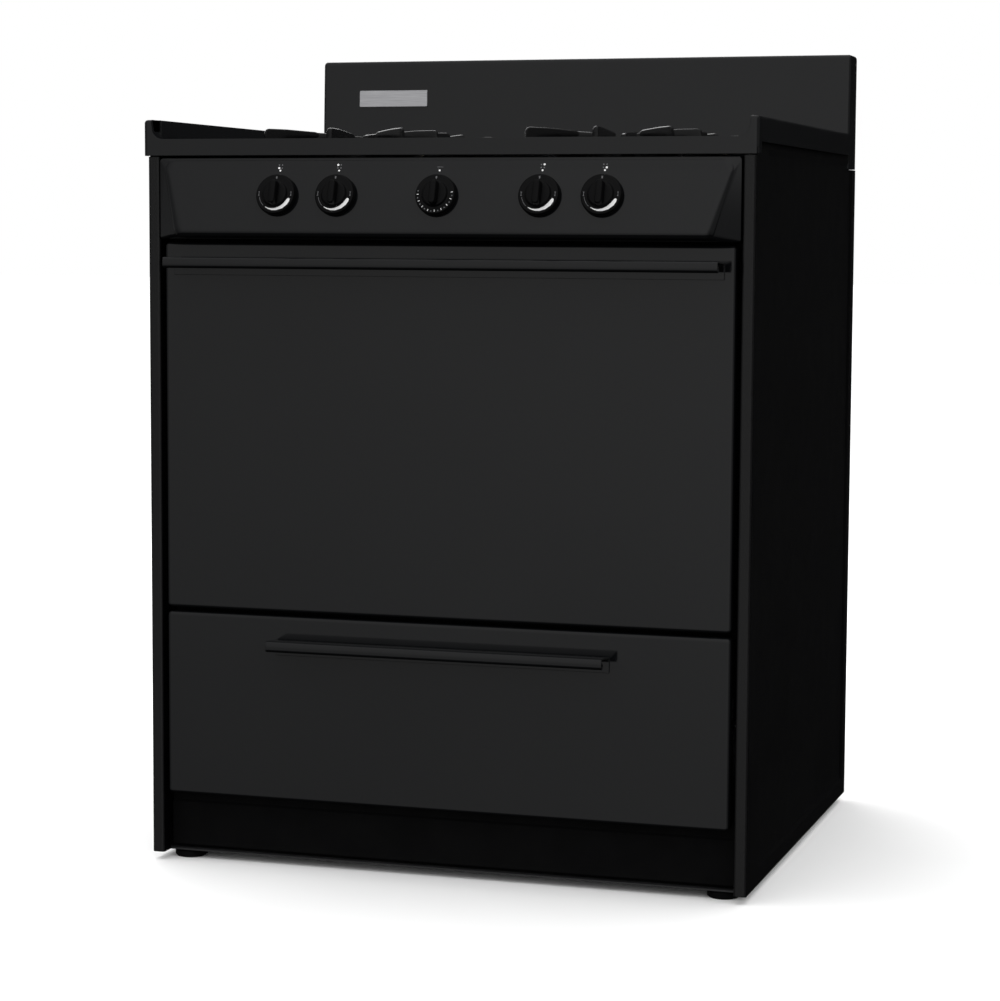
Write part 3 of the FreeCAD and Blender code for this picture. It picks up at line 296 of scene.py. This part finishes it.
def oven_enamel():
    """Blue-black oven enamel with pale specks."""
    shader = Shader("oven_enamel", (0.02, 0.022, 0.03), 0.22)
    specks = shader.texture("ShaderNodeTexVoronoi", 260.0)
    shader.feed("Base Color", shader.ramp(specks.outputs["Distance"], [
        (0.0, (0.42, 0.44, 0.48)), (0.14, (0.30, 0.31, 0.34)),
        (0.2, (0.018, 0.02, 0.028)), (1.0, (0.014, 0.016, 0.022))]))
    cloud = shader.texture("ShaderNodeTexNoise", 20.0, Detail=3.0)
    shader.feed("Roughness", shader.span(cloud.outputs["Fac"], 0.3, 0.7, 0.16, 0.3))
    return shader.material


def grate_enamel():
    shader = Shader("grate_enamel", (0.002, 0.002, 0.0022), 0.14, specular=0.26)
    pits = shader.texture("ShaderNodeTexNoise", 260.0, Detail=3.0)
    shader.bump(pits.outputs["Fac"], 0.12, 0.0005)
    cloud = shader.texture("ShaderNodeTexNoise", 30.0, Detail=2.0)
    shader.feed("Roughness", shader.span(cloud.outputs["Fac"], 0.3, 0.7, 0.1, 0.24))
    return shader.material


def black_steel():
    shader = Shader("black_steel", (0.012, 0.012, 0.013), 0.45)
    cloud = shader.texture("ShaderNodeTexNoise", 24.0, Detail=4.0)
    shader.feed("Roughness", shader.span(cloud.outputs["Fac"], 0.3, 0.7, 0.36, 0.55))
    shader.bump(shader.texture("ShaderNodeTexNoise", 500.0, Detail=2.0).outputs["Fac"], 0.1, 0.0003)
    return shader.material


def metal(name, colour, roughness, grain_scale, stretch, strength):
    """A bare metal: its grain runs along the axis that stretch leaves shortest."""
    shader = Shader(name, colour, roughness, metallic=1.0)
    grain = shader.texture("ShaderNodeTexNoise", grain_scale, stretch, Detail=4.0)
    shader.feed("Roughness", shader.span(grain.outputs["Fac"], 0.25, 0.75, roughness * 0.7, roughness * 1.4))
    darker = tuple(c * 0.8 for c in colour)
    shader.feed("Base Color", shader.ramp(grain.outputs["Fac"], [(0.3, darker), (0.7, colour)]))
    shader.bump(grain.outputs["Fac"], strength, 0.0003)
    return shader.material


def matte_black_and_shade():
    """Kick plate and feet: dead flat black paint. On the front frame, seen only through gaps, and on the tabs
    behind the kick plate, the same black is painted shade.
    """
    shader = Shader("matte_black_and_shade", (0.002, 0.002, 0.0022), 0.7, specular=0.08)
    cloud = shader.texture("ShaderNodeTexNoise", 30.0, Detail=3.0)
    shader.feed("Roughness", shader.span(cloud.outputs["Fac"], 0.3, 0.7, 0.6, 0.8))
    shader.bump(shader.texture("ShaderNodeTexNoise", 600.0, Detail=2.0).outputs["Fac"], 0.1, 0.0003)
    return shader.material


def galvanised():
    """Zinc-coated sheet with its crystal spangle."""
    shader = Shader("galvanised", (0.5, 0.51, 0.52), 0.4, metallic=0.55)
    spangle = shader.texture("ShaderNodeTexVoronoi", 95.0)
    pale = shader.ramp(spangle.outputs["Color"], [(0.0, (0.40, 0.41, 0.42)), (1.0, (0.52, 0.53, 0.54))])
    shader.feed("Base Color", pale)
    shader.feed("Roughness", shader.span(spangle.outputs["Color"], 0.0, 1.0, 0.36, 0.5))
    return shader.material


def knob_plastic():
    shader = Shader("knob_plastic", (0.0016, 0.0016, 0.0018), 0.38, specular=0.12)
    fine = shader.texture("ShaderNodeTexNoise", 700.0, Detail=2.0)
    shader.bump(fine.outputs["Fac"], 0.06, 0.0002)
    cloud = shader.texture("ShaderNodeTexNoise", 60.0, Detail=2.0)
    shader.feed("Roughness", shader.span(cloud.outputs["Fac"], 0.3, 0.7, 0.32, 0.46))
    return shader.material


def print_ink(name, colour):
    shader = Shader(name, colour, 0.4)
    fleck = shader.texture("ShaderNodeTexNoise", 1500.0, Detail=2.0)
    pale = tuple(min(1.0, c * 1.06) for c in colour)
    dim = tuple(c * 0.9 for c in colour)
    shader.feed("Base Color", shader.ramp(fleck.outputs["Fac"], [(0.3, dim), (0.6, pale)]))
    return shader.material


def brushed_badge():
    shader = Shader("brushed_badge", (0.62, 0.62, 0.64), 0.34, metallic=1.0)
    brush = shader.texture("ShaderNodeTexNoise", 60.0, (0.6, 20.0, 24.0), Detail=6.0)
    shader.feed("Base Color", shader.ramp(brush.outputs["Fac"], [
        (0.25, (0.5, 0.5, 0.52)), (0.75, (0.74, 0.74, 0.76))]))
    shader.bump(brush.outputs["Fac"], 0.2, 0.0002)
    shader.set("Anisotropic", 0.5)
    return shader.material


def glazed_ceramic():
    shader = Shader("glazed_ceramic", (0.8, 0.79, 0.74), 0.25)
    cloud = shader.texture("ShaderNodeTexNoise", 300.0, Detail=2.0)
    shader.feed("Base Color", shader.ramp(cloud.outputs["Fac"], [
        (0.3, (0.74, 0.72, 0.66)), (0.7, (0.84, 0.83, 0.79))]))
    return shader.material


def glass_wool():
    shader = Shader("glass_wool", (0.7, 0.6, 0.25), 0.95)
    fibre = shader.texture("ShaderNodeTexNoise", 90.0, (1, 1, 5), Detail=8.0)
    shader.feed("Base Color", shader.ramp(fibre.outputs["Fac"], [
        (0.3, (0.5, 0.4, 0.14)), (0.7, (0.8, 0.72, 0.38))]))
    shader.bump(fibre.outputs["Fac"], 0.8, 0.003)
    return shader.material


def glass_braid():
    shader = Shader("glass_braid", (0.05, 0.05, 0.05), 0.85)
    weave = shader.texture("ShaderNodeTexChecker", 500.0)
    shader.feed("Base Color", shader.ramp(weave.outputs["Fac"], [
        (0.0, (0.03, 0.03, 0.03)), (1.0, (0.09, 0.09, 0.09))]))
    shader.bump(weave.outputs["Fac"], 0.5, 0.0006)
    return shader.material


def make_materials():
    even = (1, 1, 1)
    return {
        "black_enamel": gloss_enamel(),
        "textured_enamel": textured_enamel(),
        "oven_enamel": oven_enamel(),
        "grate_enamel": grate_enamel(),
        "black_steel": black_steel(),
        "matte_black_and_shade": matte_black_and_shade(),
        "galvanised": galvanised(),
        "zinc_steel": metal("zinc_steel", (0.55, 0.55, 0.57), 0.32, 180.0, even, 0.15),
        "aluminised_steel": metal("aluminised_steel", (0.42, 0.42, 0.42), 0.45, 120.0, even, 0.2),
        "cast_aluminium": metal("cast_aluminium", (0.62, 0.62, 0.63), 0.42, 420.0, even, 0.35),
        "valve_brass": metal("valve_brass", (0.62, 0.43, 0.18), 0.28, 200.0, (1, 6, 1), 0.12),
        "chrome_wire": metal("chrome_wire", (0.66, 0.67, 0.69), 0.12, 200.0, even, 0.05),
        "brushed_badge": brushed_badge(),
        "knob_plastic": knob_plastic(),
        "ceramic": glazed_ceramic(),
        "insulation_wool": glass_wool(),
        "glass_braid": glass_braid(),
        "white_print": print_ink("white_print", (0.78, 0.78, 0.78)),
        "grey_print": print_ink("grey_print", (0.10, 0.10, 0.105)),
    }


def dress_cad_nodes(materials):
    """Every CAD node takes its slot's material, but the kick plate and feet take their flat black paint, and
    the front frame, seen only through gaps, is painted flat black as shade.
    """
    for subpart in frame["record"]["subparts"]:
        node = NODES[subpart["node"]]
        # Painted shade on the front frame; the kick plate and feet are black paint.
        look = "matte_black_and_shade" if subpart["node"] in BLACK_AND_SHADE_NODES else subpart["material_slot"]
        node.data.materials.clear()
        node.data.materials.append(materials[look])


# ---- mesh helpers ----
def make_piece(name, bm, body, material, nodes=(), matrix=None, bevel=0.0):
    """Turns a bmesh, in millimetres, into a piece that rides on a body and may stand for CAD nodes."""
    bmesh.ops.recalc_face_normals(bm, faces=bm.faces)
    bm.transform((matrix or Matrix.Identity(4)) @ Matrix.Scale(MM, 4))
    mesh = bpy.data.meshes.new(name)
    bm.to_mesh(mesh)
    bm.free()
    mesh.materials.append(material)
    mesh.shade_smooth()
    mesh.set_sharp_from_angle(angle=math.radians(38))
    piece = bpy.data.objects.new(name, mesh)
    bpy.context.scene.collection.objects.link(piece)
    if bevel:
        edges = piece.modifiers.new("edges", "BEVEL")
        edges.width = bevel * MM
        edges.segments = 3
        edges.limit_method = "ANGLE"
        edges.angle_limit = math.radians(38)
        edges.harden_normals = True
    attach(piece, body)
    if nodes:
        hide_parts(*nodes)
    return piece


def add_loft(bm, rings, caps=True):
    """Quads between closed rings of equally many points, with the two ends capped."""
    rows = [[bm.verts.new(point) for point in ring] for ring in rings]
    count = len(rows[0])
    for first, second in zip(rows, rows[1:]):
        for i in range(count):
            bm.faces.new((first[i], first[(i + 1) % count], second[(i + 1) % count], second[i]))
    if caps:
        bm.faces.new(rows[0])
        bm.faces.new(rows[-1])


def add_lathe(bm, profile, segments=72):
    """Turns (radius, height) points about Z. The profile's first and last points are capped."""
    turn = [(math.cos(2 * math.pi * k / segments), math.sin(2 * math.pi * k / segments))
            for k in range(segments)]
    add_loft(bm, [[(r * c, r * s, z) for c, s in turn] for r, z in profile])


def rounded_polygon(corners, radius, steps=6):
    """Points round a convex polygon whose corners are rounded to one radius."""
    points = []
    for i, corner in enumerate(corners):
        p, a, b = Vector(corner), Vector(corners[i - 1]), Vector(corners[(i + 1) % len(corners)])
        to_a, to_b = (a - p).normalized(), (b - p).normalized()
        half = to_a.angle(to_b) / 2
        centre = p + (to_a + to_b).normalized() * (radius / math.sin(half))
        start = p + to_a * (radius / math.tan(half)) - centre
        end = p + to_b * (radius / math.tan(half)) - centre
        whole = start.angle(end)
        for k in range(steps + 1):
            share = k / steps
            spoke = (start * math.sin((1 - share) * whole) + end * math.sin(share * whole)) / math.sin(whole)
            points.append(centre + spoke)
    return points


def arc(centre, radius, start, end, steps):
    """Points of an arc in a plane, with angles in degrees."""
    turn = [math.radians(start + (end - start) * k / steps) for k in range(steps + 1)]
    return [(centre[0] + radius * math.cos(a), centre[1] + radius * math.sin(a)) for a in turn]


def sheet_outline(line, thickness):
    """Closed outline of bent sheet metal: the line and its copy, one thickness to its left."""
    line = [Vector(point) for point in line]
    offset = []
    for i, point in enumerate(line):
        before = (point - line[i - 1]).normalized() if i else None
        after = (line[i + 1] - point).normalized() if i + 1 < len(line) else None
        along = ((before or after) + (after or before)).normalized()
        stretch = 1.0 / max(0.6, along.dot(before or after))
        offset.append(point + Vector((-along.y, along.x)) * thickness * stretch)
    return line + offset[::-1]


# ---- control panel ----
def knob_frame(joint):
    """Matrix, in metres: origin at the knob's centre on the panel's face, Z out of the panel."""
    axis = Vector(joint["axis"]).normalized()
    right = Vector((1, 0, 0))
    up = axis.cross(right)
    turn = Matrix((right, up, axis)).transposed().to_4x4()
    return Matrix.Translation(Vector(joint["pos_m"])) @ turn


def knob_joints():
    joints = frame["record"]["behaviour"]["joints"]
    return {j["child"]: j for j in joints if j["child"].startswith("dial_")}


def control_panel(materials):
    """The formed panel: an upright rim, soft facets and a sloped face, wider at its top than at its foot."""
    lo, hi = (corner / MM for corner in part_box("control_panel"))
    plane = knob_frame(knob_joints()["dial_oven"])
    up, out = plane.col[1].xyz, plane.col[2].xyz
    on_face = plane.col[3].xyz / MM
    rim_y = hi.y - PANEL_DEPTH

    def upright(y, inset, radius):
        half, top, low = hi.x - inset, hi.z - inset, lo.z + inset
        return rounded_polygon([(-half, y, top), (half, y, top), (half, y, low), (-half, y, low)], radius)

    def sloped(inset, depth, radius):
        (top_half, top), (low_half, low) = ((half - inset, height - math.copysign(inset, height))
                                            for height, half in FACE_EDGES)
        centre = Vector((0, on_face.y, on_face.z)) - out * depth
        corners = [centre + Vector((x, 0, 0)) + up * v
                   for x, v in ((-top_half, top), (top_half, top), (low_half, low), (-low_half, low))]
        return rounded_polygon(corners, radius)

    wall = PANEL_WALL
    rings = [sloped(12.0, wall, 5.0), upright(rim_y, wall, 3.0), upright(hi.y, wall, 3.0)]
    rings += [upright(hi.y, 0.0, 4.0), upright(rim_y + 0.5, 0.0, 4.0), upright(rim_y, 0.1, 4.0)]
    reach = [min(PANEL_ROLL, 0.8 * out.dot(front - Vector(rear)))
             for front, rear in zip(sloped(0.0, 0.0, 12.0), rings[-1])]
    for angle in range(90, -1, -15):
        inset = PANEL_ROLL * (1 - math.sin(math.radians(angle)))
        sink = 1 - math.cos(math.radians(angle))
        rings.append([point - out * (depth * sink)
                      for point, depth in zip(sloped(inset, 0.0, 12.0 - 0.6 * inset), reach)])
    bm = bmesh.new()
    add_loft(bm, rings)
    make_piece("panel_shell", bm, "cabinet", materials["black_enamel"], ["control_panel"])


def add_disc(bm, x, y, z, radius, thickness=0.12, segments=20):
    ring = [(x + radius * math.cos(2 * math.pi * k / segments),
             y + radius * math.sin(2 * math.pi * k / segments)) for k in range(segments)]
    add_loft(bm, [[(px, py, z) for px, py in ring], [(px, py, z + thickness) for px, py in ring]])


def add_band(bm, stations, z, thickness=0.12):
    """Flat printed band: stations are (angle in degrees, inner radius, outer radius)."""
    inner = [(r * math.cos(math.radians(a)), r * math.sin(math.radians(a))) for a, r, _ in stations]
    outer = [(r * math.cos(math.radians(a)), r * math.sin(math.radians(a))) for a, _, r in stations]
    outline = inner + outer[::-1]
    bottom = [bm.verts.new((x, y, z)) for x, y in outline]
    top = [bm.verts.new((x, y, z + thickness)) for x, y in outline]
    count, last = len(stations), len(outline) - 1
    for i in range(count - 1):
        bm.faces.new((top[i], top[i + 1], top[last - i - 1], top[last - i]))
        bm.faces.new((bottom[i], bottom[last - i], bottom[last - i - 1], bottom[i + 1]))
    for i in range(len(outline)):
        j = (i + 1) % len(outline)
        bm.faces.new((bottom[i], bottom[j], top[j], top[i]))


def panel_prints(materials):
    """Above each knob an index dot and, for a burner, a little plan of the four with one picked out."""
    places = {"burner_left_front": (-1, -1), "burner_left_rear": (-1, 1), "burner_right_rear": (1, 1),
              "burner_right_front": (1, -1)}
    pitch = 1.9
    for child, joint in knob_joints().items():
        name = child[len("dial_"):]
        white, grey = bmesh.new(), bmesh.new()
        add_disc(white, 0, 31.4, 0.05, 1.15)
        if name in places:
            for side in (-1, 1):
                for row in (-1, 1):
                    picked = (side, row) == places[name]
                    spot = (side * pitch, 36.6 + row * pitch)
                    add_disc(white if picked else grey, *spot, 0.05, 1.35 if picked else 0.9)
        else:
            add_band(grey, [(a, 35.4, 36.0) for a in range(84, 97, 3)], 0.05)
        at = knob_frame(joint)
        make_piece(f"print_white_{name}", white, "cabinet", materials["white_print"], matrix=at)
        make_piece(f"print_grey_{name}", grey, "cabinet", materials["grey_print"], matrix=at)


# ---- knobs ----
def knob(name, joint, materials):
    """Moulded knob: a skirt with a flat marked face, a low hub and a waisted finger bar."""
    body = "dial_" + name
    at = knob_frame(joint) @ Matrix.Translation((0, 0, KNOB_GAP * MM))
    bm = bmesh.new()
    skirt = [(3.2, 0.3), (24.2, 0.3), (24.8, 0.6), (25.0, 1.3), (24.8, 3.0), (24.3, 4.9), (23.9, 5.6),
             (23.2, 5.95), (22.3, 6.0), (17.0, 5.8), (16.2, 5.95), (15.6, 6.5), (15.2, 7.6), (14.8, 8.3),
             (14.0, 8.7), (12.8, 8.9), (0.6, 8.9)]
    add_lathe(bm, skirt, 96)
    rings = []
    bar = ((7.6, 5.9, 15.0), (8.9, 5.1, 14.9), (10.6, 4.6, 14.8), (13.0, 4.4, 14.7),
           (15.4, 4.3, 14.5), (16.7, 4.0, 14.1), (17.3, 3.4, 13.4), (17.5, 2.6, 12.5))
    for z, half_w, half_l in bar:
        corners = [(-half_w, -half_l, z), (half_w, -half_l, z), (half_w, half_l, z), (-half_w, half_l, z)]
        rings.append(rounded_polygon(corners, half_w * 0.92, 6))
    add_loft(bm, rings)
    make_piece("dial_" + name + "_moulding", bm, body, materials["knob_plastic"],
               ["knob_" + name], at)
    white, grey = bmesh.new(), bmesh.new()
    top = 5.92
    add_band(grey, [(a, 18.6, 21.6) for a in (87.6, 89.2, 90.8, 92.4)], top)
    if name == "oven":
        for k in range(9):
            angle = 6 - 23.0 * k
            add_band(white, [(angle - 1.0, 19.6, 22.2), (angle + 1.0, 19.6, 22.2)], top)
            add_band(grey, [(angle - 13.5, 20.6, 22.0), (angle - 9.5, 20.6, 22.0)], top)
    else:
        wedge = [(-17, 18.4, 20.0), (-20, 17.6, 20.8), (-26, 17.1, 21.3), (-40, 16.9, 21.4), (-60, 17.2, 21.2),
                 (-80, 17.8, 20.9), (-96, 18.4, 20.6), (-110, 18.9, 20.2), (-124, 19.3, 19.8)]
        add_band(white, wedge, top)
        for angle in (180, 0):
            add_band(grey, [(angle - 7, 19.4, 21.6), (angle - 4, 20.2, 20.8), (angle + 4, 20.2, 20.8),
                            (angle + 7, 19.4, 21.6)], top)
        add_band(grey, [(a, 19.6, 20.1) for a in range(-132, -170, -6)], top)
    make_piece("dial_" + name + "_white_marks", white, body, materials["white_print"],
               matrix=at)
    make_piece("dial_" + name + "_grey_marks", grey, body, materials["grey_print"], matrix=at)


# ---- handles ----
def handle(name, node, body, materials):
    """Full-length pull: a shelf off the panel's top, a front lip and a rolled lower edge."""
    lo, hi = (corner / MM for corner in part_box(node))
    front, back, top = lo.y, hi.y, hi.z
    roll = (front + 4.2, top - 9.4)
    line = [(back, top - 22), (back, top - 5.6)]
    line += arc((back - 3.4, top - 5.6), 3.4, 0, 84, 5)
    line += [(front + 7.5, top - 0.2)]
    line += arc((front + 3.6, top - 3.8), 3.6, 78, 172, 8)
    line += arc(roll, 4.2, 184, 418, 16)
    outline = sheet_outline(line, 1.9)
    stations = (lo.x, hi.x)
    bm = bmesh.new()
    add_loft(bm, [[(x, y, z) for y, z in outline] for x in stations])
    make_piece(name, bm, body, materials["black_enamel"], [node], bevel=0.35)


# ---- dark tabs behind the kick plate, painted shade ----
def shade_tabs(materials):
    """Upright black end tabs behind the kick plate, which close the corners beside the drawer box: painted
    shade, dark sheets where the gap would lie in shadow.
    """
    lo, hi = (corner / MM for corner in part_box("kick_plate"))
    bm = bmesh.new()
    for side in (-1, 1):
        outer, inner = side * (hi.x - 0.3), side * (hi.x - TAB_WIDTH)
        low, top = hi.z - 14, hi.z + TAB_RISE
        add_loft(bm, [rounded_polygon([(outer, y, low), (inner, y, low), (inner, y, top), (outer, y, top)], 3.0)
                      for y in (hi.y - 1.6, hi.y - 0.4)])
    # Painted shade: black sheets that hide the lit floor inside the base.
    make_piece("shade_tabs", bm, "cabinet", materials["matte_black_and_shade"])


# ---- grates ----
def arm_section(half_w, low, top):
    """Rounded section of a pressed arm, as (sideways, height) points."""
    crown = min(half_w - 0.2, (top - low) * 0.45)
    points = [(half_w, low)] + arc((half_w - crown, top - crown), crown, 0, 90, 5)
    return points + arc((-half_w + crown, top - crown), crown, 90, 180, 5) + [(-half_w, low)]


def add_arm(bm, stations, half_w, angle, centre):
    """Lofts one grate arm along its radius: stations are (radius, underside, top)."""
    c, s = math.cos(angle), math.sin(angle)
    rings = []
    for radius, low, top in stations:
        section = arm_section(half_w, low, top)
        rings.append([(centre.x + radius * c - side * s, centre.y + radius * s + side * c, z)
                      for side, z in section])
    add_loft(bm, rings)


def grate(name, materials):
    """Pressed grate: four long and four short arms of U section on a low square ring."""
    node = "grate_" + name
    lo, hi = (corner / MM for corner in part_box(node))
    centre = (lo + hi) / 2
    foot, top = lo.z, hi.z
    bm = bmesh.new()
    rings = []
    bar = ((1.2, 0.0), (0.0, 1.4), (0.0, 6.4), (1.4, 8.0), (4.0, 8.4), (6.2, 7.2), (7.0, 4.6), (7.0, 0.6),
           (6.2, 0.0))
    for inset, rise in bar:
        size = GRATE_HALF - inset
        corners = [(centre.x + x * size, centre.y + y * size, foot + rise)
                   for x, y in ((-1, -1), (1, -1), (1, 1), (-1, 1))]
        rings.append(rounded_polygon(corners, GRATE_ROUND - inset, 8))
    add_loft(bm, rings + [rings[0]], caps=False)
    for k in range(8):
        if k % 2 == 0:
            end, inner, half_w, dip = GRATE_HALF - 1, 24, 3.6, 4.0
        else:
            end, inner, half_w, dip = GRATE_CORNER - 0.5, 56, 2.6, 2.5
        stations = [(end, foot, top - 6), (end - 0.5, foot, top - 3.4), (end - 1.6, foot, top - 1.4),
                    (end - 3.4, foot, top - 0.4), (end - 5.5, foot, top), (end - 9, foot + 4.5, top),
                    (end - 16, foot + 9, top - 0.1), (end - 30, foot + 13.6, top - 0.4)]
        span = end - 30 - inner
        for share in (0.33, 0.66, 0.9):
            stations.append((end - 30 - span * share, foot + 13.6 + 2.6 * share, top - 0.4 - dip * share))
        stations += [(inner + 1, foot + 16.6, top - dip - 1.0), (inner, foot + 17.4, top - dip - 2.6)]
        add_arm(bm, stations, half_w, math.radians(45 * k), centre)
    bmesh.ops.remove_doubles(bm, verts=bm.verts, dist=0.001)
    make_piece("pan_support_" + name, bm, f"grate_{name}_body", materials["grate_enamel"],
               [node])


def main():
    bpy.context.scene.view_settings.view_transform = "Standard"
    make_camera()
    make_world()
    make_stage()
    materials = make_materials()
    dress_cad_nodes(materials)
    control_panel(materials)
    panel_prints(materials)
    for child, joint in knob_joints().items():
        knob(child[len("dial_"):], joint, materials)
    handle("door_pull", "door_handle", "oven_door", materials)
    handle("drawer_pull", "drawer_handle", "broiler_drawer", materials)
    shade_tabs(materials)
    for name in ("left_front", "left_rear", "right_front", "right_rear"):
        grate(name, materials)


main()
